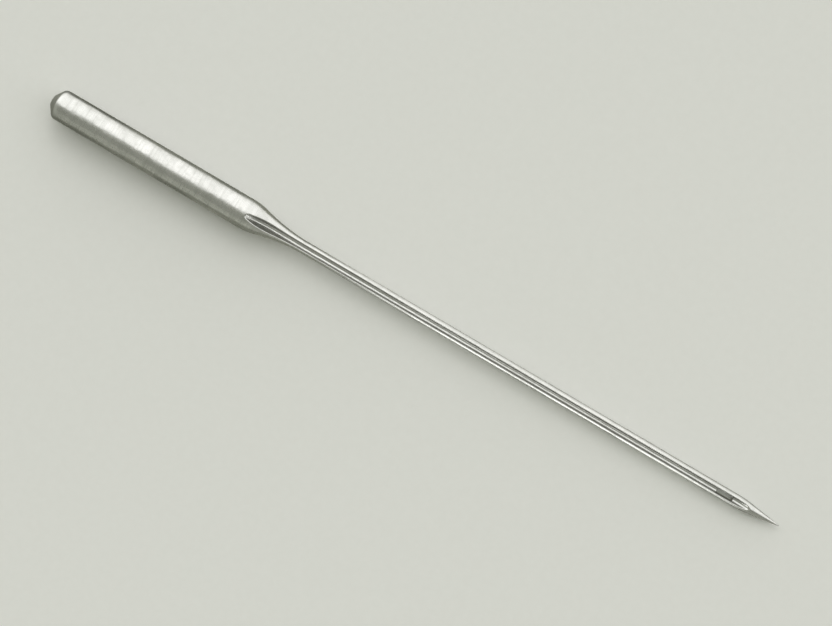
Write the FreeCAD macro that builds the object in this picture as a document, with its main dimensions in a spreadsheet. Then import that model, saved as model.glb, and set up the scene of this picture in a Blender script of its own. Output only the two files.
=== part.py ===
import FreeCAD, Part
import math
import os

import Sketcher

# Sewing machine needle with a round shank, size 70 blade.
# Millimetres. The needle's axis is the X axis: the butt's flat end is at x = 0
# and the point is at x = overall_length. The long groove faces up (+Z), the
# scarf and the short groove face down (-Z). The shank is what holds the needle:
# a round rod rolls, and it can stand on neither end.

doc = FreeCAD.newDocument("SewingNeedle")

# ---------------------------------------------------------------- dimensions
sheet = doc.addObject("Spreadsheet::Sheet", "Dimensions")
rows = [
    ("overall_length", 44.30, "butt to point"),
    ("shank_radius", 0.85, "round shank, 1.70 across"),
    ("butt_face_radius", 0.25, "small flat at the end of the butt"),
    ("butt_edge_radius", 0.12, "round between that flat and the cone"),
    ("butt_cone_length", 0.58, "from the flat to the full shank"),
    ("cone_edge_radius", 0.35, "round between the cone and the shank"),
    ("shoulder_start", 11.80, "where the shank starts to narrow"),
    ("shoulder_turn", 12.70, "where the shoulder is steepest"),
    ("shoulder_end", 15.50, "where the blade has its full size"),
    ("blade_radius", 0.35, "blade, 0.70 across"),
    ("taper_start", 41.60, "where the blade starts to narrow to the point"),
    ("point_half_angle", 8.2, "half angle of the point's cone, degrees"),
    ("tip_radius", 0.025, "rounding of the very tip"),
    ("groove_bottom_radius", 0.15, "round bottom of the long groove"),
    ("groove_lean", 20.0, "how far each of its walls leans out, degrees"),
    ("groove_floor", 0.11, "height of the long groove's floor over the axis"),
    ("groove_entry", 13.52, "where the long groove reaches its full depth"),
    ("groove_entry_radius", 2.20, "curve of the groove's floor in the shoulder"),
    ("groove_exit", 41.52, "where the floor starts to rise below the eye"),
    ("groove_exit_radius", 2.60, "curve of the groove's floor below the eye"),
    ("groove_wall", 1.20, "height of the groove's section, past the shank"),
    ("groove_top", 0.90, "rise of the floor's path in the shoulder, past the surface"),
    ("groove_runout", 0.40, "rise of the floor's path below the eye, past the surface"),
    ("eye_start", 40.50, "upper end of the eye"),
    ("eye_end", 41.48, "lower end of the eye"),
    ("eye_width", 0.27, "eye, across"),
    ("scarf_start", 39.55, "upper end of the scarf"),
    ("scarf_end", 41.60, "lower end of the scarf"),
    ("scarf_depth", 0.14, "deepest cut of the scarf into the blade"),
    ("scarf_width", 1.20, "the scarf is ground right across the blade"),
    ("scarf_clear", 0.30, "how far the scarf's section runs below the blade"),
    ("short_radius", 0.12, "section radius of the short groove"),
    ("short_floor", 0.225, "depth of the short groove's floor under the axis"),
    ("short_start", 41.20, "the short groove starts inside the eye"),
    ("short_exit", 41.72, "where its floor starts to fall to the surface"),
    ("short_drop", 0.16, "how far the path falls, clear of the surface"),
    ("short_exit_radius", 4.40, "curve of the short groove's floor"),
    ("lip_radius", 0.045, "rounding of the long groove's lips"),
    ("scarf_edge_radius", 0.020, "rounding of the scarf's outline"),
    ("eye_rim_radius", 0.030, "rounding of the eye's rim"),
]
value = {}
for number, (alias, size, meaning) in enumerate(rows, start=1):
    sheet.set("A%d" % number, meaning)
    sheet.set("B%d" % number, repr(size))
    sheet.setAlias("B%d" % number, alias)
    value[alias] = size
doc.recompute()


def bind(sketch, constraint, alias):
    """Name a dimension of a sketch and bind it to the sheet."""
    sketch.renameConstraint(constraint, alias)
    sketch.setExpression("Constraints." + alias, "Dimensions." + alias)


def origin_plane(body, role):
    return [f for f in body.Origin.OriginFeatures if f.Role == role][0]


def new_sketch(body, name, role):
    sketch = body.newObject("Sketcher::SketchObject", name)
    sketch.AttachmentSupport = [(origin_plane(body, role), "")]
    sketch.MapMode = "FlatFace"
    return sketch


def vec(x, y):
    return FreeCAD.Vector(x, y, 0)


def arc(cx, cy, r, a, b):
    circle = Part.Circle(vec(cx, cy), FreeCAD.Vector(0, 0, 1), r)
    return Part.ArcOfCircle(circle, a, b)


def edges_where(feature, test):
    """Names of the feature's edges whose box and edge pass the test."""
    names = []
    for number, edge in enumerate(feature.Shape.Edges, start=1):
        if not edge.Degenerated and test(edge.optimalBoundingBox(False, False), edge):
            names.append("Edge%d" % number)
    return names


def rounding(name, base, names, alias):
    """A fillet on named edges of the feature before it, its radius from the sheet."""
    if not names:
        raise SystemExit("%s has no edges to round" % name)
    fillet = body.newObject("PartDesign::Fillet", name)
    fillet.Base = (base, names)
    fillet.Radius = value[alias]
    fillet.setExpression("Radius", "Dimensions." + alias)
    doc.recompute()
    volumes.append((name, fillet))
    return fillet


body = doc.addObject("PartDesign::Body", "needle")
body.Label = "needle"
doc.recompute()

# ------------------------------------------------- 1. the turned outline
# Half outline in the XZ plane, turned about the X axis: butt flat, butt cone,
# shank, S-shaped shoulder, blade, point and tip.
v = value
rs, rb = v["shank_radius"], v["blade_radius"]

outline = new_sketch(body, "Outline", "XZ_Plane")

# The butt: a round at the flat, a cone, a round at the shank.
re_, rc = v["butt_edge_radius"], v["cone_edge_radius"]
face, cone_end = v["butt_face_radius"], v["butt_cone_length"]
# The cone line is tangent to both rounds: solve its slope.
slope = math.radians(48.0)
for _ in range(60):
    # end of the small round, then the start of the large one
    ex = re_ * (1 - math.sin(slope))
    ey = face + re_ * math.cos(slope)
    sx = cone_end - rc * math.sin(slope)
    sy = rs - rc * (1 - math.cos(slope))
    slope = math.atan2(sy - ey, sx - ex)
outline.addGeometry(Part.LineSegment(vec(0, 0), vec(0, face)), False)            # 0
outline.addGeometry(arc(re_, face, re_, math.pi / 2 + slope, math.pi), False)    # 1
outline.addGeometry(Part.LineSegment(vec(ex, ey), vec(sx, sy)), False)           # 2
outline.addGeometry(arc(cone_end, rs - rc, rc, math.pi / 2, math.pi / 2 + slope), False)  # 3
outline.addGeometry(Part.LineSegment(vec(cone_end, rs), vec(v["shoulder_start"], rs)), False)  # 4

# The shoulder: a convex arc and a longer concave arc.
drop, run = rs - rb, v["shoulder_end"] - v["shoulder_start"]
lean = 2 * math.atan2(drop, run)
first = v["shoulder_turn"] - v["shoulder_start"]
r1 = first / math.sin(lean)
r2 = (run - first) / math.sin(lean)
outline.addGeometry(arc(v["shoulder_start"], rs - r1, r1, math.pi / 2 - lean, math.pi / 2), False)  # 5
outline.addGeometry(arc(v["shoulder_end"], rb + r2, r2, 1.5 * math.pi - lean, 1.5 * math.pi), False)  # 6
outline.addGeometry(Part.LineSegment(vec(v["shoulder_end"], rb), vec(v["taper_start"], rb)), False)  # 7

# The point: an arc off the blade, a cone, and a round tip.
half = math.radians(v["point_half_angle"])
rt, length = v["tip_radius"], v["overall_length"]
tx, ty = length - rt + rt * math.sin(half), rt * math.cos(half)
# radius of the arc that joins the blade to the cone
ra = (rb - ty - math.tan(half) * (tx - v["taper_start"])) / (
    (1 - math.cos(half)) - math.tan(half) * math.sin(half))
ax, ay = v["taper_start"] + ra * math.sin(half), rb - ra * (1 - math.cos(half))
outline.addGeometry(arc(v["taper_start"], rb - ra, ra, math.pi / 2 - half, math.pi / 2), False)  # 8
outline.addGeometry(Part.LineSegment(vec(ax, ay), vec(tx, ty)), False)           # 9
outline.addGeometry(arc(length - rt, 0, rt, 0, math.pi / 2 - half), False)       # 10
outline.addGeometry(Part.LineSegment(vec(length, 0), vec(0, 0)), False)          # 11

C = Sketcher.Constraint
outline.addConstraint([
    C("Coincident", 0, 1, -1, 1),
    C("Vertical", 0),
    C("Tangent", 0, 2, 1, 2),
    C("Tangent", 1, 1, 2, 1),
    C("Tangent", 2, 2, 3, 2),
    C("Tangent", 3, 1, 4, 1),
    C("Horizontal", 4),
    C("Tangent", 4, 2, 5, 2),
    C("Tangent", 5, 1, 6, 1),
    C("Tangent", 6, 2, 7, 1),
    C("Horizontal", 7),
    C("Tangent", 7, 2, 8, 2),
    C("Tangent", 8, 1, 9, 1),
    C("Tangent", 9, 2, 10, 2),
    C("Coincident", 10, 1, 11, 1),
    C("PointOnObject", 10, 3, -1),
    C("Horizontal", 11),
    C("Coincident", 11, 2, -1, 1),
])
for alias, constraint in [
    ("butt_face_radius", C("DistanceY", -1, 1, 0, 2, face)),
    ("butt_edge_radius", C("Radius", 1, re_)),
    ("cone_edge_radius", C("Radius", 3, rc)),
    ("butt_cone_length", C("DistanceX", -1, 1, 4, 1, cone_end)),
    ("shank_radius", C("DistanceY", -1, 1, 4, 1, rs)),
    ("shoulder_start", C("DistanceX", -1, 1, 4, 2, v["shoulder_start"])),
    ("shoulder_turn", C("DistanceX", -1, 1, 5, 1, v["shoulder_turn"])),
    ("shoulder_end", C("DistanceX", -1, 1, 7, 1, v["shoulder_end"])),
    ("blade_radius", C("DistanceY", -1, 1, 7, 1, rb)),
    ("taper_start", C("DistanceX", -1, 1, 7, 2, v["taper_start"])),
    ("tip_radius", C("Radius", 10, rt)),
    ("overall_length", C("DistanceX", -1, 1, 11, 1, length)),
]:
    bind(outline, outline.addConstraint(constraint), alias)
angle = outline.addConstraint(C("Angle", 9, 2, 11, 1, half))
bind(outline, angle, "point_half_angle")
doc.recompute()

blank = body.newObject("PartDesign::Revolution", "Blank")
blank.Profile = outline
blank.ReferenceAxis = (outline, ["H_Axis"])
blank.Angle = 360.0
doc.recompute()

volumes = [("Blank", blank)]


def spine(sketch, z_floor, up, x_rise, r_rise, lift, x_fall, r_fall, drop_):
    """Side view of a groove's floor: an arc off the surface, a straight run, an arc back.

    up is +1 for a groove in the top of the needle and -1 for one in its underside.
    """
    z = up * z_floor
    a = math.acos(1 - lift / r_rise) if lift else 0.0
    b = math.acos(1 - drop_ / r_fall)
    side = 1.5 * math.pi if up > 0 else 0.5 * math.pi
    geometry = []
    if lift:
        lo, hi = (side - a, side) if up > 0 else (side, side + a)
        geometry.append(arc(x_rise, z + up * r_rise, r_rise, lo, hi))
    geometry.append(Part.LineSegment(vec(x_rise, z), vec(x_fall, z)))
    lo, hi = (side, side + b) if up > 0 else (side - b, side)
    geometry.append(arc(x_fall, z + up * r_fall, r_fall, lo, hi))
    sketch.addGeometry(geometry, False)
    return geometry


# ------------------------------------------------------ 2. the long groove
# A round-bottomed channel in the top of the blade, whose walls lean out, so that
# its mouth is wider in the shoulder, where it is deeper. Its floor comes down
# out of the shoulder, runs straight to the eye and rises again just below it.
long_path = new_sketch(body, "LongGroovePath", "XZ_Plane")
spine(long_path, v["groove_floor"], 1,
      v["groove_entry"], v["groove_entry_radius"], v["groove_top"],
      v["groove_exit"], v["groove_exit_radius"], v["groove_runout"])
long_path.addConstraint([
    C("Tangent", 0, 2, 1, 1),
    C("Horizontal", 1),
    C("Tangent", 1, 2, 2, 1),
])
for alias, constraint in [
    ("groove_floor", C("DistanceY", -1, 1, 1, 1, v["groove_floor"])),
    ("groove_entry", C("DistanceX", -1, 1, 1, 1, v["groove_entry"])),
    ("groove_exit", C("DistanceX", -1, 1, 1, 2, v["groove_exit"])),
    ("groove_entry_radius", C("Radius", 0, v["groove_entry_radius"])),
    ("groove_exit_radius", C("Radius", 2, v["groove_exit_radius"])),
    ("groove_top", C("DistanceY", 1, 1, 0, 1, v["groove_top"])),
    ("groove_runout", C("DistanceY", 1, 2, 2, 2, v["groove_runout"])),
]:
    bind(long_path, long_path.addConstraint(constraint), alias)
doc.recompute()

long_section = body.newObject("Sketcher::SketchObject", "LongGrooveSection")
long_section.AttachmentSupport = [(long_path, "Edge1")]
long_section.MapMode = "FrenetNB"
long_section.MapPathParameter = 0.0
# The section's x axis points away from the curve's centre, so the channel's
# floor is at its origin and its walls run to negative x.
w, wall = v["groove_bottom_radius"], v["groove_wall"]
out = math.radians(v["groove_lean"])
# where the round bottom meets a wall, and the far end of that wall
bx, by = -w + w * math.sin(out), w * math.cos(out)
wy = by + (wall + bx) * math.tan(out)
long_section.addGeometry([
    arc(-w, 0, w, out - 0.5 * math.pi, 0.5 * math.pi - out),
    Part.LineSegment(vec(bx, by), vec(-wall, wy)),
    Part.LineSegment(vec(-wall, wy), vec(-wall, -wy)),
    Part.LineSegment(vec(-wall, -wy), vec(bx, -by)),
], False)
long_section.addConstraint([
    C("Tangent", 0, 2, 1, 1),
    C("Coincident", 1, 2, 2, 1),
    C("Coincident", 2, 2, 3, 1),
    C("Tangent", 3, 2, 0, 1),
    C("Vertical", 2),
    C("PointOnObject", 0, 3, -1),
])
for alias, constraint, formula in [
    ("groove_bottom_radius", C("Radius", 0, w), "Dimensions.groove_bottom_radius"),
    ("groove_wall", C("DistanceX", 1, 2, -1, 1, wall), "Dimensions.groove_wall"),
    ("section_centre", C("DistanceX", 0, 3, -1, 1, w), "Dimensions.groove_bottom_radius"),
    ("lean_left", C("Angle", 1, math.pi - out), "180 - Dimensions.groove_lean"),
    ("lean_right", C("Angle", 3, out), "Dimensions.groove_lean"),
]:
    index = long_section.addConstraint(constraint)
    long_section.renameConstraint(index, alias)
    long_section.setExpression("Constraints." + alias, formula)
doc.recompute()

long_groove = body.newObject("PartDesign::SubtractivePipe", "LongGroove")
long_groove.Profile = long_section
long_groove.Spine = (long_path, ["Edge1", "Edge2", "Edge3"])
long_groove.Mode = "Frenet"
doc.recompute()
volumes.append(("LongGroove", long_groove))

# The two straight lips; the rounding runs on along the tangent edges to the
# ends of the groove.
lips = edges_where(long_groove, lambda b, e: (
    b.XLength > 20 and b.YLength < 1e-3 and abs(b.YMin) > 0.1 and b.ZMin > v["groove_floor"] + w + 0.02))
rounding("LongGrooveLips", long_groove, lips, "lip_radius")

# --------------------------------------------------------------- 3. the eye
# A slot with round ends, punched straight through the middle of the groove.
eye_sketch = new_sketch(body, "EyeSlot", "XY_Plane")
e0, e1, ew = v["eye_start"], v["eye_end"], v["eye_width"] / 2
eye_sketch.addGeometry([
    arc(e0 + ew, 0, ew, 0.5 * math.pi, 1.5 * math.pi),
    Part.LineSegment(vec(e0 + ew, -ew), vec(e1 - ew, -ew)),
    arc(e1 - ew, 0, ew, -0.5 * math.pi, 0.5 * math.pi),
    Part.LineSegment(vec(e1 - ew, ew), vec(e0 + ew, ew)),
], False)
eye_sketch.addConstraint([
    C("Tangent", 0, 2, 1, 1),
    C("Tangent", 1, 2, 2, 1),
    C("Tangent", 2, 2, 3, 1),
    C("Tangent", 3, 2, 0, 1),
    C("Horizontal", 1),
    C("PointOnObject", 0, 3, -1),
])
for alias, constraint, formula in [
    ("eye_width", C("DistanceY", 1, 1, 3, 2, 2 * ew), "Dimensions.eye_width"),
    ("eye_upper", C("DistanceX", -1, 1, 0, 3, e0 + ew), "Dimensions.eye_start + Dimensions.eye_width / 2"),
    ("eye_lower", C("DistanceX", -1, 1, 2, 3, e1 - ew), "Dimensions.eye_end - Dimensions.eye_width / 2"),
]:
    index = eye_sketch.addConstraint(constraint)
    eye_sketch.renameConstraint(index, alias)
    eye_sketch.setExpression("Constraints." + alias, formula)
doc.recompute()

eye = body.newObject("PartDesign::Pocket", "Eye")
eye.Profile = eye_sketch
eye.SideType = "Symmetric"
eye.Type = "Length"
eye.Length = 2.0
eye.setExpression("Length", "Dimensions.shank_radius * 2")
doc.recompute()
volumes.append(("Eye", eye))

# ------------------------------------------------------------- 4. the scarf
# A shallow dish ground right across the underside of the blade, over the eye.
scarf_sketch = new_sketch(body, "ScarfSide", "XZ_Plane")
s0, s1, sd = v["scarf_start"], v["scarf_end"], v["scarf_depth"]
half_length = (s1 - s0) / 2
sr = (half_length ** 2 + sd ** 2) / (2 * sd)
sc = ((s0 + s1) / 2, -rb + sd - sr)
sweep = math.asin(half_length / sr)
below = v["scarf_clear"]
scarf_sketch.addGeometry([
    arc(sc[0], sc[1], sr, math.pi / 2 - sweep, math.pi / 2 + sweep),
    Part.LineSegment(vec(s0, -rb), vec(s0, -rb - below)),
    Part.LineSegment(vec(s0, -rb - below), vec(s1, -rb - below)),
    Part.LineSegment(vec(s1, -rb - below), vec(s1, -rb)),
], False)
scarf_sketch.addConstraint([
    C("Coincident", 0, 2, 1, 1),
    C("Coincident", 1, 2, 2, 1),
    C("Coincident", 2, 2, 3, 1),
    C("Coincident", 3, 2, 0, 1),
    C("Vertical", 1),
    C("Horizontal", 2),
    C("Vertical", 3),
])
for alias, constraint, formula in [
    ("scarf_start", C("DistanceX", -1, 1, 0, 2, s0), "Dimensions.scarf_start"),
    ("scarf_end", C("DistanceX", -1, 1, 0, 1, s1), "Dimensions.scarf_end"),
    ("scarf_edge", C("DistanceY", 0, 2, -1, 1, rb), "Dimensions.blade_radius"),
    ("scarf_edge_below", C("DistanceY", 0, 1, -1, 1, rb), "Dimensions.blade_radius"),
    ("scarf_radius", C("Radius", 0, sr),
     "(((Dimensions.scarf_end - Dimensions.scarf_start) / 2) ^ 2 + Dimensions.scarf_depth ^ 2) / (2 * Dimensions.scarf_depth)"),
    ("scarf_clear", C("DistanceY", 1, 2, 1, 1, below), "Dimensions.scarf_clear"),
]:
    index = scarf_sketch.addConstraint(constraint)
    scarf_sketch.renameConstraint(index, alias)
    scarf_sketch.setExpression("Constraints." + alias, formula)
doc.recompute()

scarf = body.newObject("PartDesign::Pocket", "Scarf")
scarf.Profile = scarf_sketch
scarf.SideType = "Symmetric"
scarf.Type = "Length"
scarf.Length = v["scarf_width"]
scarf.setExpression("Length", "Dimensions.scarf_width")
doc.recompute()
volumes.append(("Scarf", scarf))

outline_edges = edges_where(scarf, lambda b, e: (
    b.XLength > 1.5 and b.XMin > s0 - 0.01 and b.XMax < s1 + 0.01
    and b.ZMax < 0 and b.YLength > 0.15))
rounding("ScarfEdge", scarf, outline_edges, "scarf_edge_radius")

# ------------------------------------------------------- 5. the short groove
# A round channel in the underside, from inside the eye towards the point.
short_path = new_sketch(body, "ShortGroovePath", "XZ_Plane")
spine(short_path, v["short_floor"] + v["short_radius"], -1,
      v["short_start"], 1.0, 0.0,
      v["short_exit"], v["short_exit_radius"], v["short_drop"])
short_path.addConstraint([
    C("Horizontal", 0),
    C("Tangent", 0, 2, 1, 2),
])
for alias, constraint, formula in [
    ("short_start", C("DistanceX", -1, 1, 0, 1, v["short_start"]), "Dimensions.short_start"),
    ("short_exit", C("DistanceX", -1, 1, 0, 2, v["short_exit"]), "Dimensions.short_exit"),
    ("short_level", C("DistanceY", 0, 1, -1, 1, v["short_floor"] + v["short_radius"]),
     "Dimensions.short_floor + Dimensions.short_radius"),
    ("short_exit_radius", C("Radius", 1, v["short_exit_radius"]), "Dimensions.short_exit_radius"),
    ("short_drop", C("DistanceY", 1, 1, 0, 2, v["short_drop"]), "Dimensions.short_drop"),
]:
    index = short_path.addConstraint(constraint)
    short_path.renameConstraint(index, alias)
    short_path.setExpression("Constraints." + alias, formula)
doc.recompute()

short_section = body.newObject("Sketcher::SketchObject", "ShortGrooveSection")
short_section.AttachmentSupport = [(short_path, "Edge1")]
short_section.MapMode = "NormalToEdge"
short_section.MapPathParameter = 0.0
short_section.addGeometry(Part.Circle(vec(0, 0), FreeCAD.Vector(0, 0, 1), v["short_radius"]), False)
short_section.addConstraint(C("Coincident", 0, 3, -1, 1))
bind(short_section, short_section.addConstraint(C("Radius", 0, v["short_radius"])), "short_radius")
doc.recompute()

short_groove = body.newObject("PartDesign::SubtractivePipe", "ShortGroove")
short_groove.Profile = short_section
short_groove.Spine = (short_path, ["Edge1", "Edge2"])
short_groove.Mode = "Standard"
doc.recompute()
volumes.append(("ShortGroove", short_groove))

# The eye's rim, above in the long groove and below in the scarf.
inside = ew + 0.001
upper_rim = edges_where(short_groove, lambda b, e: (
    b.XMin > e0 - 0.01 and b.XMax < e1 + 0.01 and -inside < b.YMin and b.YMax < inside
    and b.ZMin > v["groove_floor"] - 0.01 and b.ZMax < v["groove_floor"] + w))
eye_top = rounding("EyeRimAbove", short_groove, upper_rim, "eye_rim_radius")
lower_rim = edges_where(eye_top, lambda b, e: (
    b.XMin > e0 - 0.01 and b.XMax < e1 + 0.01 and -inside < b.YMin and b.YMax < inside
    and b.ZMax < -0.2 and b.ZLength < 0.14))
eye_bottom = rounding("EyeRimBelow", eye_top, lower_rim, "eye_rim_radius")

# ---------------------------------------------------------------- the checks
last = None
for name, feature in volumes:
    volume = feature.Shape.Volume
    note = "" if last is None else " (%+.4f)" % (volume - last)
    print("%-12s %.4f mm3%s, %d faces, valid %s" % (
        name, volume, note, len(feature.Shape.Faces), feature.Shape.isValid()))
    if last is not None and volume >= last - 1e-5:
        raise SystemExit("%s removed nothing" % name)
    last = volume

for obj in doc.Objects:
    if "Invalid" in obj.State or "Error" in obj.State:
        raise SystemExit("%s failed: %s" % (obj.Name, obj.State))

shape = body.Shape
if shape.isNull() or not shape.isValid() or len(shape.Solids) != 1:
    raise SystemExit("the needle is not one valid solid")

os.makedirs("parts", exist_ok=True)
shape.exportStep("parts/%s.step" % body.Label)

box = shape.optimalBoundingBox(False, False)
centre = shape.Solids[0].CenterOfMass
print("box %.3f..%.3f  %.3f..%.3f  %.3f..%.3f" % (
    box.XMin, box.XMax, box.YMin, box.YMax, box.ZMin, box.ZMax))
print("centre of mass %.4f %.4f %.4f" % tuple(centre))
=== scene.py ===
import math

import bpy
import numpy as np
from mathutils import Matrix, Vector


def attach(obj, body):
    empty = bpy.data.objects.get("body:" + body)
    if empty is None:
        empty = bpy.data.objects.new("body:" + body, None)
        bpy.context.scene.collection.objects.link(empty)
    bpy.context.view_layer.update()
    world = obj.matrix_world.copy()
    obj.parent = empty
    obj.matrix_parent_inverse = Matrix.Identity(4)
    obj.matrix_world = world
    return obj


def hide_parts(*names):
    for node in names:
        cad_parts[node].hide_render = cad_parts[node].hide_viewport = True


# The needle is modelled section by section in millimetres, in the frame of the
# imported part: the axis is the X axis, the butt's flat is at x = 0, the long
# groove faces +Z, the scarf and the short groove face -Z.

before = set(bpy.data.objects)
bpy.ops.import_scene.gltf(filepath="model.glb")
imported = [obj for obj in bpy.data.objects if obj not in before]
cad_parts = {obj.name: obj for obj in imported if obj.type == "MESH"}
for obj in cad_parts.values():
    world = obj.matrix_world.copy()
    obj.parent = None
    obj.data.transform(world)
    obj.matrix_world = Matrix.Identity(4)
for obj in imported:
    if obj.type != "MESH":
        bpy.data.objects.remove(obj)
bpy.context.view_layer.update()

# ------------------------------------------------------------ dimensions, mm
LENGTH, R_SHANK, R_BLADE = 44.30, 0.85, 0.35
FACE_R, EDGE_R, CONE_END, CONE_R = 0.25, 0.12, 0.58, 0.35
S0, S1, S2 = 11.80, 12.70, 15.50
P0, P_HALF, TIP_R = 41.60, math.radians(8.2), 0.025
G_W, G_LEAN, G_FLOOR, G_IN, G_IN_R, G_OUT, G_OUT_R = 0.15, math.radians(20.0), 0.11, 13.52, 2.20, 41.52, 2.60
E0, E1, E_W = 40.50, 41.48, 0.135
C0, C1, C_DEEP = 39.55, 41.60, 0.14
T_R, T_FLOOR, T_OUT, T_OUT_R = 0.12, 0.225, 41.72, 4.40
LIP_R = 0.045

LEAN = 2 * math.atan2(R_SHANK - R_BLADE, S2 - S0)
SH1 = (S1 - S0) / math.sin(LEAN)
SH2 = (S2 - S1) / math.sin(LEAN)
TX, TY = LENGTH - TIP_R + TIP_R * math.sin(P_HALF), TIP_R * math.cos(P_HALF)
P_R = (R_BLADE - TY - math.tan(P_HALF) * (TX - P0)) / (
    (1 - math.cos(P_HALF)) - math.tan(P_HALF) * math.sin(P_HALF))
PX, PY = P0 + P_R * math.sin(P_HALF), R_BLADE - P_R * (1 - math.cos(P_HALF))
C_HALF = (C1 - C0) / 2
C_R = (C_HALF ** 2 + C_DEEP ** 2) / (2 * C_DEEP)
C_X, C_Z = (C0 + C1) / 2, -R_BLADE + C_DEEP - C_R


def radius(x):
    """Radius of the turned outline and its slope, from the full shank to the tip's round."""
    x = np.asarray(x, float)
    r = np.full_like(x, R_SHANK)
    g = np.zeros_like(x)
    m = (x > S0) & (x <= S1)
    q = np.sqrt(SH1 ** 2 - (x[m] - S0) ** 2)
    r[m], g[m] = R_SHANK - SH1 + q, -(x[m] - S0) / q
    m = (x > S1) & (x <= S2)
    q = np.sqrt(SH2 ** 2 - (x[m] - S2) ** 2)
    r[m], g[m] = R_BLADE + SH2 - q, (x[m] - S2) / q
    m = (x > S2) & (x <= P0)
    r[m] = R_BLADE
    m = (x > P0) & (x <= PX)
    q = np.sqrt(P_R ** 2 - (x[m] - P0) ** 2)
    r[m], g[m] = R_BLADE - P_R + q, -(x[m] - P0) / q
    m = x > PX
    r[m], g[m] = PY - (x[m] - PX) * math.tan(P_HALF), -math.tan(P_HALF)
    return r, g


def groove_gap(x, y, z):
    """Distance outside the long groove: a round bottom and walls that lean out, over a floor line in three parts."""
    h = np.where(x < G_IN, G_IN_R - np.hypot(x - G_IN, z - G_FLOOR - G_IN_R),
                 np.where(x > G_OUT, G_OUT_R - np.hypot(x - G_OUT, z - G_FLOOR - G_OUT_R), z - G_FLOOR)) - G_W
    ay = np.abs(y)
    wall = ay * math.cos(G_LEAN) - h * math.sin(G_LEAN)
    return np.where(ay * math.sin(G_LEAN) + h * math.cos(G_LEAN) > 0, wall, np.hypot(ay, h)) - G_W


def joined(parts, k):
    """What is inside all the parts, with edges rounded to the radius k."""
    top, total = parts[0], np.maximum(parts[0] + k, 0) ** 2
    for d in parts[1:]:
        top = np.maximum(top, d)
        total = total + np.maximum(d + k, 0) ** 2
    return np.minimum(top, -k) + np.sqrt(total)


def surface(x, y, z):
    """Distance-like value: under 0 in the steel, over 0 outside, with every cut edge rounded."""
    r0, g0 = radius(x)
    parts = [joined([(np.hypot(y, z) - r0) / np.sqrt(1 + g0 ** 2), -groove_gap(x, y, z)], LIP_R)]
    # eye: a slot
    ex = np.clip(x, E0 + E_W, E1 - E_W)
    parts.append(-(np.hypot(x - ex, y) - E_W))
    # scarf
    parts.append(-(np.hypot(x - C_X, z - C_Z) - C_R))
    # short groove: a round channel that starts inside the eye
    zc = -(T_FLOOR + T_R)
    line = np.hypot(y, z - zc)
    bow = np.hypot(y, np.hypot(x - T_OUT, z - zc + T_OUT_R) - T_OUT_R)
    tube = np.where(x < T_OUT, line, bow) - T_R
    tube = np.where(x < 41.20, np.maximum(tube, 41.20 - x), tube)
    parts.append(-tube)
    return joined(parts, 0.021)


def slope_yz(x, y, z, e=2e-6):
    gy = (surface(x, y + e, z) - surface(x, y - e, z)) / (2 * e)
    gz = (surface(x, y, z + e) - surface(x, y, z - e)) / (2 * e)
    n = np.maximum(np.hypot(gy, gz), 1e-9)
    return gy / n, gz / n, n


def settle(x, y, z, times=3, most=0.004):
    """Moves points onto the surface within their own section."""
    for _ in range(times):
        gy, gz, n = slope_yz(x, y, z)
        step = np.clip(surface(x, y, z) / n, -most, most)
        y, z = y - gy * step, z - gz * step
    return y, z


def root(f, lo, hi, times=48):
    """Bisection: f(lo) > 0, f(hi) < 0, arrays."""
    for _ in range(times):
        mid = (lo + hi) / 2
        out = f(mid) > 0
        lo, hi = np.where(out, mid, lo), np.where(out, hi, mid)
    return (lo + hi) / 2


def trace(x, closed, ds=0.0025):
    """Outline of the section at each x, from the top of the middle plane round +y to the bottom.

    With closed true the sections go through the eye: each outline is the loop of one cheek, which
    starts and ends on the eye's wall.
    """
    x = np.asarray(x, float)
    mid = np.full_like(x, -0.03)
    if closed:
        r0, _ = radius(x)
        ew = eye_half(x)
        y = root(lambda t: surface(x, t, mid), np.zeros_like(x), (ew + r0) / 2)
        z = mid.copy()
        y1, z1 = y.copy(), z.copy()
    else:
        y = np.zeros_like(x)
        z = root(lambda t: surface(x, y, t), np.full_like(x, 1.2), mid)
        y1 = np.zeros_like(x)
        z1 = root(lambda t: surface(x, y, t), np.full_like(x, -1.2), mid)
    ys, zs = [y.copy()], [z.copy()]
    alive = np.ones(len(x), bool)
    count = np.zeros(len(x), int)
    for step in range(4000):
        gy, gz, _ = slope_yz(x, y, z)
        ym, zm = y + gz * ds / 2, z - gy * ds / 2
        gy, gz, _ = slope_yz(x, ym, zm)
        yn, zn = y + gz * ds, z - gy * ds
        yn, zn = settle(x, yn, zn, 2)
        if closed:
            done = (step > 60) & (z < mid) & (zn >= mid) & (yn < (y1 + radius(x)[0]) / 2)
        else:
            done = (step > 8) & (yn <= 0)
        stop = alive & done
        yn, zn = np.where(stop, y1, yn), np.where(stop, z1, zn)
        y, z = np.where(alive, yn, y), np.where(alive, zn, z)
        count = np.where(alive, step + 1, count)
        ys.append(y.copy())
        zs.append(z.copy())
        alive = alive & ~stop
        if not alive.any():
            break
    else:
        raise ValueError("a section's outline never closed at x = %s" % x[alive][:5])
    ys, zs = np.array(ys), np.array(zs)
    return [(ys[: c + 1, i], zs[: c + 1, i]) for i, c in enumerate(count)]


def eye_half(x):
    """Half width of the eye at x."""
    d = np.where(x < E0 + E_W, E0 + E_W - x, np.where(x > E1 - E_W, x - (E1 - E_W), 0.0))
    return np.sqrt(np.maximum(E_W ** 2 - d ** 2, 0))


def length_along(y, z):
    return np.concatenate([[0], np.cumsum(np.hypot(np.diff(y), np.diff(z)))])


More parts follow.
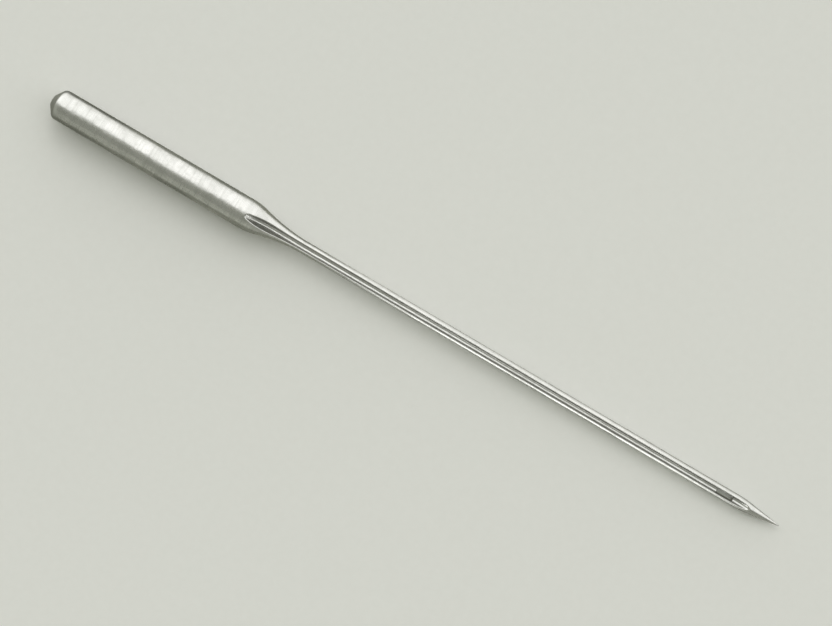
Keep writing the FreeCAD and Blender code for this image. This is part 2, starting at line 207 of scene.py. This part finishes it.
def spread(u0, u1, u, turn, n, coarse, per_turn):
    """n + 1 arc lengths from u0 to u1, closer together where the outline turns, as shares of the stretch."""
    v = np.linspace(u0, u1, max(160, int((u1 - u0) / 0.0015)))
    density = 1 / coarse + np.interp(v, u, turn) / per_turn
    total = np.concatenate([[0], np.cumsum((density[1:] + density[:-1]) / 2 * np.diff(v))])
    return (np.interp(np.linspace(0, total[-1], n + 1), total, v) - u0) / (u1 - u0)


def ease(x, lo, hi):
    t = np.clip((x - lo) / (hi - lo), 0, 1)
    return t * t * (3 - 2 * t)


def cut(y, z, top, bottom):
    """Splits a cheek's loop: the part outside the eye's wall, from height top round to height bottom."""
    k0 = int(np.argmax(z > top))
    t = (top - z[k0 - 1]) / (z[k0] - z[k0 - 1])
    first = (y[k0 - 1] + t * (y[k0] - y[k0 - 1]), top)
    k1 = len(z) - 1 - int(np.argmax(z[::-1] < bottom))
    t = (bottom - z[k1]) / (z[k1 + 1] - z[k1])
    last = (y[k1] + t * (y[k1 + 1] - y[k1]), bottom)
    return (np.concatenate([[first[0]], y[k0:k1 + 1], [last[0]]]),
            np.concatenate([[first[1]], z[k0:k1 + 1], [last[1]]]))


def rim(x):
    """Heights on the eye's wall where the rounding of its upper and lower rim ends."""
    ew = eye_half(x)
    top = G_FLOOR + G_W - np.sqrt(G_W ** 2 - ew ** 2) - 0.030
    low = C_Z + np.sqrt(C_R ** 2 - (x - C_X) ** 2)
    tube = -(T_FLOOR + T_R) + np.sqrt(np.maximum(T_R ** 2 - ew ** 2, 0))
    low = np.where((x > 41.20) & (ew < T_R), np.maximum(low, tube), low)
    return top, low + 0.030


def mouth(x):
    """Half width of the long groove's mouth at x, where its wall would meet the turned surface."""
    r0 = radius(x)[0]
    return root(lambda y: -groove_gap(x, y, np.sqrt(np.maximum(r0 ** 2 - y ** 2, 0))),
                np.zeros_like(x), np.full_like(x, 0.34))


def steps(a, b, n):
    """n values from a on, b left out."""
    return np.linspace(a, b, n + 1)[:-1]


N_LIP, N_SIDE, N_SCARF, N = 20, 36, 50, 66     # columns: groove | upper side | lower side | underside
M = 12                                          # rings down the eye's wall


def build():
    """Vertices and faces of the needle, in mm."""
    # ---- where the sections lie along the needle
    slope = math.radians(48.0)
    for _ in range(60):
        ex, ey = EDGE_R * (1 - math.sin(slope)), FACE_R + EDGE_R * math.cos(slope)
        sx, sy = CONE_END - CONE_R * math.sin(slope), R_SHANK - CONE_R * (1 - math.cos(slope))
        slope = math.atan2(sy - ey, sx - ex)
    butt = [(0.0, FACE_R * f) for f in (0.35, 0.7, 0.92)]
    butt += [(EDGE_R + EDGE_R * math.cos(t), FACE_R + EDGE_R * math.sin(t))
             for t in np.linspace(math.pi, math.pi / 2 + slope, 8)]
    butt += [(ex + f * (sx - ex), ey + f * (sy - ey)) for f in (0.2, 0.4, 0.6, 0.8)]
    butt += [(CONE_END + CONE_R * math.cos(t), R_SHANK - CONE_R + CONE_R * math.sin(t))
             for t in np.linspace(math.pi / 2 + slope, math.pi / 2, 9)]
    point = [(LENGTH - TIP_R + TIP_R * math.cos(t), TIP_R * math.sin(t))
             for t in np.linspace(math.pi / 2 - P_HALF, 0, 9)[:-1]]
    edge = 0.05 * (1 - np.sin(np.linspace(0, 0.5 * math.pi, 11)))
    arc = np.linspace(0, math.pi / 2, 13)[1:]
    before = np.concatenate([
        steps(0.90, 8.50, 16), steps(8.50, 11.60, 32), steps(11.60, 11.82, 7), steps(11.82, 12.12, 46),
        steps(12.12, 12.70, 40), steps(12.70, 15.50, 50), steps(15.50, 17.0, 10), steps(17.0, 37.5, 40), steps(37.5, 39.45, 30),
        steps(39.45, 39.90, 34), steps(39.90, E0 - 0.05, 24), (E0 - edge)[:-1], [E0 - 0.0004]])
    within = np.concatenate([
        E0 + E_W - E_W * np.cos(arc), steps(E0 + E_W, E1 - E_W, 26)[1:],
        (E1 - E_W + E_W * np.cos(arc))[::-1]])
    after = np.concatenate([
        [E1 + 0.0004], (E1 + edge)[::-1][1:], steps(E1 + 0.05, 42.56, 76)[1:],
        steps(42.56, TX, 34)])
    xs = np.concatenate([before, within, after])
    nb, nw = len(before), len(within)

    # ---- the outline of each section
    cut_zone = (xs > 11.79) & (xs < 42.56)
    lines = [None] * len(xs)
    arcs = np.linspace(0, math.pi, 721)
    for i in np.flatnonzero(~cut_zone):
        r = float(radius(xs[i:i + 1])[0][0])
        lines[i] = (r * np.sin(arcs), r * np.cos(arcs))
    lines[nb:nb + nw] = trace(within, True)
    opened = [i for i in np.flatnonzero(cut_zone) if i < nb or i >= nb + nw]
    for i, line in zip(opened, trace(xs[opened], False)):
        lines[i] = line
    tops, lows = rim(within)
    for k in range(nw):
        lines[nb + k] = cut(*lines[nb + k], tops[k], lows[k])

    # ---- landmarks: lip, side and scarf edge, as arc lengths along each outline
    r0 = radius(xs)[0]
    even_lip, even_scarf = math.pi * N_LIP / N, math.pi * (1 - N_SCARF / N)
    y_lip = np.minimum(mouth(np.clip(xs, 12.10, 42.20)) + 0.016, 0.6 * r0)
    free = 1 - ease(xs, 8.5, 11.85) + ease(xs, 42.44, 43.3)
    y_lip = y_lip * (1 - free) + r0 * math.sin(even_lip) * free
    zs = C_Z + np.sqrt(C_R ** 2 - np.clip(xs - C_X, -C_HALF, C_HALF) ** 2)
    y_scarf = np.maximum(np.sqrt(np.maximum(R_BLADE ** 2 - zs ** 2, 0)), 0.132)
    free = 1 - ease(xs, 37.0, 39.4) + ease(xs, 42.44, 43.3)
    y_scarf = y_scarf * (1 - free) + r0 * math.sin(even_scarf) * free
    shares = np.zeros((len(xs), N + 1))
    marks = np.zeros((len(xs), 5))
    spans = [(0, N_LIP), (N_LIP, N_SIDE), (N_SIDE, N_SCARF), (N_SCARF, N)]
    for i, (y, z) in enumerate(lines):
        d = length_along(y, z)
        keep = np.concatenate([[True], np.diff(d) > 1e-7])
        d, y, z = d[keep], y[keep], z[keep]
        lines[i] = (y, z)
        side = int(np.argmax(y))
        up = np.arange(side + 1)
        k = up[y[:side + 1] <= y_lip[i]]
        k = int(k[-1])
        lip = np.interp(y_lip[i], [y[k], y[k + 1]], [d[k], d[k + 1]])
        down = np.arange(side, len(y))
        k = down[y[side:] <= y_scarf[i]]
        k = int(k[0])
        low = np.interp(y_scarf[i], [y[k], y[k - 1]], [d[k], d[k - 1]])
        middle = np.interp(0.0, -z[side - 3:side + 4], d[side - 3:side + 4]) if abs(z[side]) < 0.05 else d[side]
        marks[i] = (0, lip, middle, low, d[-1])
        u = np.linspace(0, d[-1], max(500, int(d[-1] / 0.0015)))
        yy, zz = np.interp(u, d, y), np.interp(u, d, z)
        a = np.unwrap(np.arctan2(np.gradient(zz), np.gradient(yy)))
        turn = np.abs(np.gradient(a, u))
        width = max(3, int(0.016 / (u[1] - u[0])))
        kernel = np.hanning(width + 2)[1:-1]
        kernel /= kernel.sum()
        turn = np.convolve(np.pad(turn, width, mode="reflect"), kernel, mode="same")[width:-width]
        for k, (a0, a1) in enumerate(spans):
            shares[i, a0:a1 + 1] = spread(marks[i, k], marks[i, k + 1], u, turn, a1 - a0, 0.05, math.radians(8)) + k

    # ---- smooth the shares from row to row, so the columns flow
    reach = np.interp(xs, [11.0, 11.8, 12.8, 13.2, 15.5, 16.5, 37.0, 39.4, 40.3, 40.45, 40.49, 40.52, 40.64, 41.34,
                           41.46, 41.5, 41.6, 42.4, 42.6, 43.3],
                      [0.3, 0.05, 0.08, 0.15, 0.3, 0.8, 0.8, 0.10, 0.05, 0.02, 0.006, 0.006, 0.04, 0.04,
                       0.006, 0.006, 0.03, 0.06, 0.08, 0.2])
    weight = np.gradient(xs)
    even = np.empty_like(shares)
    for i in range(len(xs)):
        g = np.exp(-0.5 * ((xs - xs[i]) / reach[i]) ** 2) * weight
        even[i] = (shares * g[:, None]).sum(0) / g.sum()
    shares = even

    # ---- the grid
    gx = np.repeat(xs[:, None], N + 1, 1)
    gy, gz = np.zeros_like(gx), np.zeros_like(gx)
    for i, (y, z) in enumerate(lines):
        d = length_along(y, z)
        at = np.interp(shares[i], np.arange(5), marks[i])
        gy[i], gz[i] = np.interp(at, d, y), np.interp(at, d, z)
    rows = np.flatnonzero(cut_zone)
    inner = np.ix_(rows, np.arange(1, N))
    yi, zi = settle(gx[inner].ravel(), gy[inner].ravel(), gz[inner].ravel(), 3)
    gy[inner], gz[inner] = yi.reshape(len(rows), -1), zi.reshape(len(rows), -1)
    for i in np.flatnonzero(~cut_zone):
        a = np.arctan2(gy[i], gz[i])
        gy[i], gz[i] = r0[i] * np.sin(a), r0[i] * np.cos(a)
    gy[:nb, 0] = gy[:nb, N] = gy[nb + nw:, 0] = gy[nb + nw:, N] = 0.0

    verts, faces = [], []

    def add(p):
        verts.append(tuple(float(c) for c in p))
        return len(verts) - 1

    def join(a, b, flip):
        for j in range(len(a) - 1):
            q = (a[j], a[j + 1], b[j + 1], b[j])
            faces.append(q[::-1] if flip else q)

    def ring(x, y, z):
        """A whole ring as its two halves, each from the top to the bottom."""
        plus = [add(p) for p in zip(x, y, z)]
        minus = [plus[0]] + [add((x[j], -y[j], z[j])) for j in range(1, N)] + [plus[N]]
        return plus, minus

    def wall(top, bottom):
        """The eye's wall in one section, from its lower rim to its upper rim."""
        p, q = np.array(verts[bottom]), np.array(verts[top])
        return [bottom] + [add(p + (q - p) * k / M) for k in range(1, M)] + [top]

    def turned(x, r, angle):
        return ring(np.full(N + 1, x), r * np.sin(angle), r * np.cos(angle))

    angle = np.arctan2(gy[0], gz[0])
    halves = [turned(x, r, angle) for x, r in butt]
    for i in range(nb):
        x = gx[i].copy()
        if i == nb - 1:
            x[0] = x[N] = E0
        halves.append(ring(x, gy[i], gz[i]))
    centre = add((0.0, 0.0, 0.0))
    for j in range(N):
        faces.append((centre, halves[0][0][j], halves[0][0][j + 1]))
        faces.append((centre, halves[0][1][j + 1], halves[0][1][j]))
    for a, b in zip(halves[:-1], halves[1:]):
        join(a[0], b[0], True)
        join(a[1], b[1], False)
    line = wall(halves[-1][0][0], halves[-1][0][N])
    prev = (*halves[-1], line, line)
    for i in range(nb, nb + nw):
        plus = [add(p) for p in zip(gx[i], gy[i], gz[i])]
        minus = [add(p) for p in zip(gx[i], -gy[i], gz[i])]
        now = (plus, minus, wall(plus[0], plus[N]), wall(minus[0], minus[N]))
        for a, b, flip in zip(prev, now, (True, False, True, False)):
            join(a, b, flip)
        prev = now
    halves = []
    for i in range(nb + nw, len(xs)):
        x = gx[i].copy()
        if i == nb + nw:
            x[0] = x[N] = E1
        halves.append(ring(x, gy[i], gz[i]))
    line = wall(halves[0][0][0], halves[0][0][N])
    for a, b, flip in zip(prev, (*halves[0], line, line), (True, False, True, False)):
        join(a, b, flip)
    angle = np.arctan2(gy[-1], gz[-1])
    halves += [turned(x, r, angle) for x, r in point]
    for a, b in zip(halves[:-1], halves[1:]):
        join(a[0], b[0], True)
        join(a[1], b[1], False)
    tip = add((LENGTH, 0.0, 0.0))
    for j in range(N):
        faces.append((tip, halves[-1][0][j + 1], halves[-1][0][j]))
        faces.append((tip, halves[-1][1][j], halves[-1][1][j + 1]))
    return np.array(verts), faces


# ------------------------------------------------------------------ the needle
MM = 0.001
points, faces = build()

mesh = bpy.data.meshes.new("needle_steel")
mesh.from_pydata((points * MM).tolist(), [], faces)
mesh.validate(verbose=False)
mesh.polygons.foreach_set("use_smooth", [True] * len(mesh.polygons))
mesh.update()

# Which cut each point of the surface belongs to, 0 to 1, for the finish. The walls of the groove, the eye and the
# short groove get painted shade, partly as grinding residue, and all cuts are rougher.
px, py, pz = points.T


def cut_share(distance):
    """1 on the wall of a cut, 0 away from it."""
    return np.clip(1 - (distance - 0.004) / 0.016, 0, 1)


steep = np.clip((np.abs(py) / G_W - np.interp(px, [14.5, 34.0, 38.5], [0.60, 0.20, 0.42])) / 0.35, 0, 1)
below_lip = np.clip((radius(px)[0] - np.hypot(py, pz) - 0.015) / 0.030, 0, 1)
groove_here = steep * below_lip * cut_share(groove_gap(px, py, pz)) * (px > 11.8) * (px < 42.6) * (pz > 0.05)
eye_gap = np.hypot(px - np.clip(px, E0 + E_W, E1 - E_W), py) - E_W
eye_here = cut_share(eye_gap) * (np.hypot(py, pz) < R_BLADE - 0.02)
scarf_gap = np.abs(np.hypot(px - C_X, pz - C_Z) - C_R)
scarf_here = cut_share(scarf_gap) * (pz < -0.15) * (px > C0) * (px < C1)
tube_z = -(T_FLOOR + T_R)
tube_gap = np.where(px < T_OUT, np.hypot(py, pz - tube_z),
                    np.hypot(py, np.hypot(px - T_OUT, pz - tube_z + T_OUT_R) - T_OUT_R)) - T_R
tube_here = cut_share(tube_gap) * (px > E1 - 0.15) * (px < 42.6) * (pz < -0.15)
for name, values in (("groove", groove_here), ("eye", eye_here), ("scarf", scarf_here), ("short_groove", tube_here)):
    layer = mesh.attributes.new(name, "FLOAT", "POINT")
    layer.data.foreach_set("value", values.astype(np.float32))

needle = bpy.data.objects.new("needle_steel", mesh)
bpy.context.scene.collection.objects.link(needle)


# ------------------------------------------------------------------ its finish
def node_tree(material):
    material.use_nodes = True
    tree = material.node_tree
    tree.nodes.clear()
    return tree, tree.nodes, tree.links


class Maker:
    """Short calls for shader nodes."""

    def __init__(self, tree):
        self.tree, self.nodes, self.links = tree, tree.nodes, tree.links

    def put(self, socket, value):
        if isinstance(value, bpy.types.NodeSocket):
            self.links.new(value, socket)
        else:
            socket.default_value = value

    def node(self, kind, inputs=(), **settings):
        n = self.nodes.new(kind)
        for k, v in settings.items():
            setattr(n, k, v)
        for k, v in dict(inputs).items():
            self.put(n.inputs[k], v)
        return n

    def math(self, op, a, b=0.0, c=0.0, clamp=False):
        n = self.node("ShaderNodeMath", {0: a, 1: b, 2: c}, operation=op, use_clamp=clamp)
        return n.outputs[0]

    def noise(self, vector, scale, detail=2.0, rough=0.5):
        n = self.node("ShaderNodeTexNoise", {"Vector": vector, "Scale": scale, "Detail": detail, "Roughness": rough},
                      noise_dimensions="3D")
        return n.outputs["Fac"]

    def ramp(self, value, lo, hi, out_lo=0.0, out_hi=1.0, smooth=True):
        n = self.node("ShaderNodeMapRange", {"Value": value, "From Min": lo, "From Max": hi,
                                             "To Min": out_lo, "To Max": out_hi},
                      interpolation_type="SMOOTHSTEP" if smooth else "LINEAR", clamp=True)
        return n.outputs["Result"]

    def scaled(self, vector, x, y, z):
        n = self.node("ShaderNodeMapping", {"Vector": vector, "Scale": (x, y, z)}, vector_type="POINT")
        return n.outputs["Vector"]

    def attribute(self, name):
        return self.node("ShaderNodeAttribute", attribute_name=name, attribute_type="GEOMETRY").outputs["Fac"]

    def mix(self, share, a, b):
        n = self.node("ShaderNodeMix", data_type="RGBA", blend_type="MIX")
        self.put(n.inputs["Factor"], share)
        self.put(n.inputs[6], a)
        self.put(n.inputs[7], b)
        return n.outputs[2]

    def blend(self, share, a, b):
        n = self.node("ShaderNodeMix", data_type="FLOAT")
        self.put(n.inputs["Factor"], share)
        self.put(n.inputs[2], a)
        self.put(n.inputs[3], b)
        return n.outputs[0]


def plated_steel():
    material = bpy.data.materials.new("plated_steel")
    tree, nodes, links = node_tree(material)
    m = Maker(tree)
    where = m.node("ShaderNodeTexCoord").outputs["Object"]
    split = m.node("ShaderNodeSeparateXYZ", {"Vector": where})
    x = split.outputs["X"]

    # Regions along the needle, in metres: turned butt, ground shank, drawn blade, polished point.
    shank = m.ramp(x, 0.0118, 0.0152, 1.0, 0.0)
    butt = m.ramp(x, 0.0005, 0.0008, 1.0, 0.0)
    point = m.ramp(x, 0.0414, 0.0425, 0.0, 1.0)
    groove, eye, scarf, short = (m.attribute(n) for n in ("groove", "eye", "scarf", "short_groove"))
    cut_wall_shade_and_residue = m.math("ADD", m.math("ADD", groove, eye, clamp=True), short, clamp=True)

    # Grinding marks round the shank, long round the needle and short along it, and the blade's lengthwise polish.
    ring = m.noise(m.scaled(where, 9000, 500, 500), 1.0, 4.0, 0.65)
    line = m.noise(m.scaled(where, 300, 14000, 14000), 1.0, 4.0, 0.65)
    cross = m.noise(m.scaled(where, 16000, 500, 3000), 1.0, 3.0, 0.6)
    marks = m.blend(scarf, m.blend(shank, line, ring), cross)
    # Satin mottling of the plating, and slow unevenness left by straightening and grinding.
    mottle = m.noise(m.scaled(where, 2600, 3600, 3600), 1.0, 4.0, 0.6)
    uneven = m.noise(m.scaled(where, 900, 1500, 1500), 1.0, 2.0, 0.5)
    patch = m.noise(m.scaled(where, 260, 500, 500), 1.0, 2.0, 0.5)
    speck = m.noise(where, 12000.0, 2.0, 0.5)
    # Broader rings on the shank, where the grinding wheel stopped and went on.
    rings = m.math("MULTIPLY", m.ramp(m.noise(m.scaled(where, 1900, 260, 260), 1.0, 3.0, 0.6), 0.40, 0.62), shank)

    colour = m.mix(m.ramp(patch, 0.35, 0.65), (0.735, 0.740, 0.718, 1), (0.785, 0.783, 0.762, 1))
    colour = m.mix(m.math("MULTIPLY", rings, 0.42), colour, (0.595, 0.60, 0.575, 1))
    colour = m.mix(m.math("MULTIPLY", m.ramp(mottle, 0.46, 0.68), 0.40), colour, (0.56, 0.565, 0.540, 1))
    colour = m.mix(m.math("MULTIPLY", m.ramp(marks, 0.46, 0.70), 0.36), colour, (0.50, 0.50, 0.475, 1))
    colour = m.mix(m.math("MULTIPLY", m.ramp(speck, 0.66, 0.76), 0.35), colour, (0.48, 0.475, 0.45, 1))
    # Painted shade, partly grinding residue: the walls of the groove, the eye and the short groove darkened towards
    # a dark grey.
    colour = m.mix(m.math("MULTIPLY", cut_wall_shade_and_residue, 0.80), colour, (0.27, 0.27, 0.245, 1))

    rough = m.math("MULTIPLY_ADD", m.ramp(mottle, 0.35, 0.70), 0.09, 0.22)
    rough = m.math("ADD", rough, m.math("MULTIPLY", m.ramp(marks, 0.40, 0.75), 0.07))
    rough = m.math("ADD", rough, m.math("MULTIPLY", butt, 0.06))
    rough = m.math("ADD", rough, m.math("MULTIPLY", cut_wall_shade_and_residue, 0.12))
    rough = m.math("ADD", rough, m.math("MULTIPLY", scarf, 0.05))
    rough = m.math("SUBTRACT", rough, m.math("MULTIPLY", point, 0.05))

    slow = m.node("ShaderNodeBump", {"Strength": 0.6, "Distance": 0.000055, "Height": uneven})
    fine = m.node("ShaderNodeBump", {"Strength": 0.7, "Distance": 0.000007,
                                     "Height": m.math("MULTIPLY_ADD", mottle, 0.8, marks),
                                     "Normal": slow.outputs["Normal"]})

    shader = m.node("ShaderNodeBsdfPrincipled", {
        "Base Color": colour, "Metallic": 1.0, "Roughness": rough, "Normal": fine.outputs["Normal"]})
    m.node("ShaderNodeOutputMaterial", {"Surface": shader.outputs["BSDF"]})
    return material


needle.data.materials.append(plated_steel())
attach(needle, "root")
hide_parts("needle")

# ------------------------------------------------------------------- the floor
# The needle lies on the end of its shank and on the end of its blade, so the
# floor rises by about one degree along the axis. It touches the outline's arc
# of radius SH1 at the shoulder and the one of radius P_R at the point.
over = P_R - SH1
reach = math.hypot(P0 - S0, over + R_SHANK - R_BLADE)
TILT = math.atan2(over + R_SHANK - R_BLADE, P0 - S0) - math.asin(over / reach)
DROP = -S0 * math.sin(TILT) + (SH1 - R_SHANK) * math.cos(TILT) - SH1


def floor_height(x):
    """Height of the floor in metres, at x in metres."""
    return (DROP * MM + x * math.sin(TILT)) / math.cos(TILT)


def floor_material():
    material = bpy.data.materials.new("pale_floor")
    tree, nodes, links = node_tree(material)
    m = Maker(tree)
    where = m.node("ShaderNodeTexCoord").outputs["Object"]
    grain = m.noise(where, 2500.0, 3.0, 0.6)
    colour = m.mix(grain, (0.785, 0.792, 0.755, 1), (0.820, 0.827, 0.792, 1))
    plain = m.node("ShaderNodeBsdfPrincipled", {"Base Color": colour, "Roughness": 0.75, "Specular IOR Level": 0.0})
    # Painted shadow and painted light that only the needle's steel mirrors: glossy rays see a glowing floor, dark
    # beside the shank and on its shaded side, bright farther out on the lit side, and brighter beside the thin
    # blade, most of all near the eye.
    place = m.node("ShaderNodeSeparateXYZ", {"Vector": where})
    across, ahead = place.outputs["Y"], m.math("MULTIPLY", place.outputs["X"], -1.0)
    lit = m.ramp(across, 0.0021, 0.0047)
    by_blade = m.ramp(ahead, -0.0150, -0.0195)
    by_eye = m.math("MULTIPLY", m.ramp(ahead, -0.0340, -0.0375), m.ramp(ahead, -0.0412, -0.0425, 1.0, 0.0))
    upper = m.math("MULTIPLY", m.math("MULTIPLY", m.ramp(across, 0.0004, 0.0014), 0.80), by_blade)
    lower_share = m.math("MULTIPLY_ADD", by_eye, 0.72, m.math("MULTIPLY", by_blade, 0.25))
    lower = m.math("MULTIPLY", m.ramp(across, -0.0007, -0.0020), lower_share)
    lit = m.math("MAXIMUM", m.math("MAXIMUM", lit, upper), lower)
    shadow = m.mix(m.ramp(m.noise(where, 420.0, 2.0, 0.5), 0.35, 0.65), (0.140, 0.145, 0.117, 1), (0.250, 0.257, 0.210, 1))
    painted_reflection = m.node("ShaderNodeEmission", {"Color": m.mix(lit, shadow, (1.10, 1.10, 1.05, 1))})
    path = m.node("ShaderNodeLightPath")
    pale = m.node("ShaderNodeMixShader", {0: path.outputs["Is Glossy Ray"], 1: plain.outputs[0],
                                          2: painted_reflection.outputs[0]})
    # Seen from under, the floor is clear, so that the underside of the needle shows.
    clear = m.node("ShaderNodeBsdfTransparent")
    back = m.node("ShaderNodeNewGeometry").outputs["Backfacing"]
    share = m.math("MULTIPLY", path.outputs["Is Camera Ray"], back)
    both = m.node("ShaderNodeMixShader", {0: share, 1: pale.outputs[0], 2: clear.outputs[0]})
    m.node("ShaderNodeOutputMaterial", {"Surface": both.outputs[0]})
    return material


size = 2.0
floor_mesh = bpy.data.meshes.new("floor")
floor_mesh.from_pydata([(x, y, floor_height(x)) for x, y in ((-size, -size), (size, -size), (size, size), (-size, size))],
                       [], [(0, 1, 2, 3)])
floor = bpy.data.objects.new("floor", floor_mesh)
bpy.context.scene.collection.objects.link(floor)
floor_mesh.materials.append(floor_material())

# ------------------------------------------------------------------ the lights
# Soft studio light: a broad bright side from overhead to the horizon at +Y,
# which is the upper side of the picture, stronger towards the butt, and a
# dimmer side at -Y.
world = bpy.data.worlds.new("studio")
bpy.context.scene.world = world
world.use_nodes = True
world.node_tree.nodes.clear()
m = Maker(world.node_tree)
way = m.node("ShaderNodeSeparateXYZ", {"Vector": m.node("ShaderNodeTexCoord").outputs["Generated"]})
lean = m.math("ARCTAN2", way.outputs["Y"], way.outputs["Z"])
key = m.ramp(lean, math.radians(-4), math.radians(14))
high = m.ramp(lean, math.radians(5), math.radians(40), 0.92, 1.0)
low = m.ramp(lean, math.radians(-65), math.radians(-22), 1.0, 0.74)
bright = m.mix(high, (0, 0, 0, 1), (1.28, 1.28, 1.245, 1))
dim = m.mix(low, (0, 0, 0, 1), (0.385, 0.395, 0.340, 1))
dome = m.mix(key, dim, bright)
slant = m.math("MULTIPLY_ADD", way.outputs["X"], -0.28, 1.0)
# unevenness, as of a real room
cloud = m.noise(m.node("ShaderNodeTexCoord").outputs["Generated"], 3.5, 2.0, 0.5)
fleck = m.noise(m.node("ShaderNodeTexCoord").outputs["Generated"], 10.0, 2.0, 0.5)
shade = m.math("MULTIPLY", m.ramp(cloud, 0.3, 0.7, 0.72, 1.26), m.ramp(fleck, 0.35, 0.65, 0.76, 1.22))
slant = m.math("MULTIPLY", slant, m.blend(key, shade, m.ramp(cloud, 0.3, 0.7, 0.96, 1.04)))
seen = m.node("ShaderNodeLightPath").outputs["Is Camera Ray"]
shown = m.mix(seen, dome, (0.66, 0.665, 0.645, 1))
back = m.node("ShaderNodeBackground", {"Color": shown, "Strength": m.blend(seen, slant, 1.0)})
m.node("ShaderNodeOutputWorld", {"Surface": back.outputs[0]})

sun = bpy.data.lights.new("sun", "SUN")
sun.energy = 0.28
sun.angle = math.radians(24)
sun_object = bpy.data.objects.new("sun", sun)
bpy.context.scene.collection.objects.link(sun_object)
sun_object.rotation_euler = Vector((-0.25, 0.75, 0.70)).to_track_quat("Z", "Y").to_euler()
sun_object.visible_glossy = False

# A soft strip light low on the dim side, along the blade. It shows in the
# steel's lower cheek and leaves the floor alone.
side_light = bpy.data.lights.new("side_light", "AREA")
side_light.shape = "ELLIPSE"
side_light.size, side_light.size_y = 0.0245, 0.0060
side_light.energy = 0.00060
side_object = bpy.data.objects.new("side_light", side_light)
bpy.context.scene.collection.objects.link(side_object)
side_object.location = (0.03075, -0.0060, 0.0021)
side_object.rotation_euler = Vector((0.0, -0.97, 0.23)).to_track_quat("Z", "Y").to_euler()
side_object.visible_camera = False
side_object.visible_diffuse = False

# ------------------------------------------------------------------ the camera
# Straight down on the needle, which is rolled a little in the picture, so that
# its groove leans 8 degrees towards the lower side. The needle runs down to
# the right, 30.4 degrees under the horizontal.
ROLL, LEAN_DOWN = math.radians(8.0), math.radians(30.4)
PIXELS_PER_MM, WIDTH = 19.0, 832
camera_data = bpy.data.cameras.new("camera")
camera_data.lens, camera_data.sensor_width = 100.0, 36.0
camera_data.clip_start, camera_data.clip_end = 0.002, 5.0
camera_data.dof.use_dof = False
camera = bpy.data.objects.new("camera", camera_data)
bpy.context.scene.collection.objects.link(camera)
back_way = Vector((0, math.sin(ROLL), math.cos(ROLL)))
along = Vector((1, 0, 0))
side = back_way.cross(along)
right = math.cos(LEAN_DOWN) * along + math.sin(LEAN_DOWN) * side
up = -math.sin(LEAN_DOWN) * along + math.cos(LEAN_DOWN) * side
distance = WIDTH / PIXELS_PER_MM * MM * camera_data.lens / camera_data.sensor_width
target = Vector((LENGTH / 2 * MM, 0, 0))
camera.matrix_world = Matrix.Translation(target + back_way * distance) @ Matrix(
    (right, up, back_way)).transposed().to_4x4()
bpy.context.scene.camera = camera

view = bpy.context.scene.view_settings
view.view_transform = "Standard"
view.look = "None"
view.exposure = 0.0
view.gamma = 1.0
